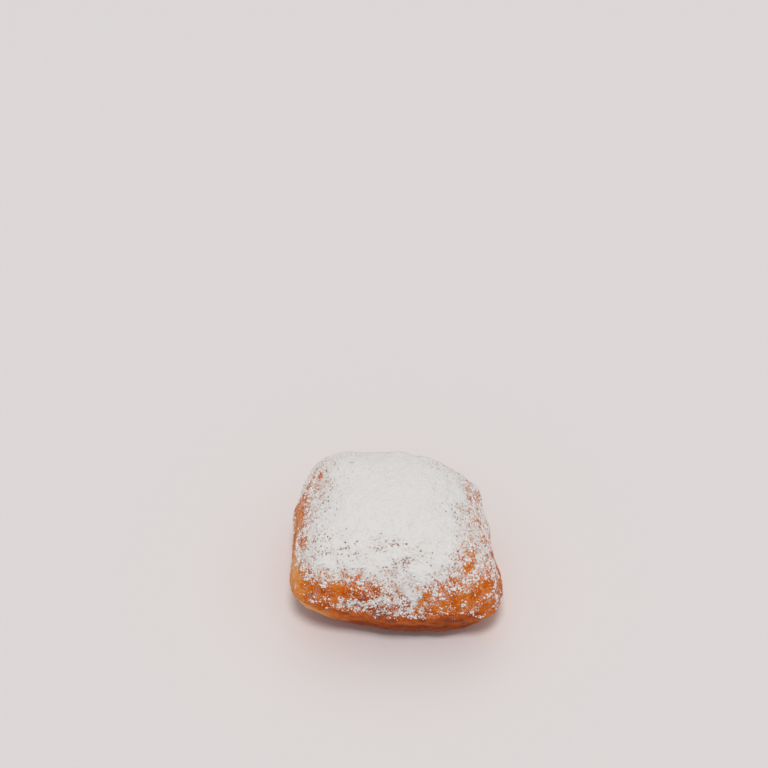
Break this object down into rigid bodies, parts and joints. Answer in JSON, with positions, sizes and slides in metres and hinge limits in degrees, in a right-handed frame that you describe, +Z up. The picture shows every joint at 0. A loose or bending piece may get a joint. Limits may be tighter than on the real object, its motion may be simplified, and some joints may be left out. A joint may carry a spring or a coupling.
{
  "type": "beignet",
  "caption": "Square pillow-shaped beignet of fried yeast dough, golden brown with a paler waist, thickly dusted with icing sugar.",
  "frame": {"origin": "on the resting plane, under the middle of the bounding box", "axes": "+Z up through the sugared face; +X and +Y along the sides of the square, the wider near edge facing -Y"},
  "size_m": [0.0704, 0.0644, 0.0407],
  "materials": {
    "fried_crust": "satin fried crust, golden to deep brown",
    "icing_sugar": "matte white powder"
  },
  "bodies": {
    "root": {"beignet": "fried_crust"}
  },
  "joints": []
}
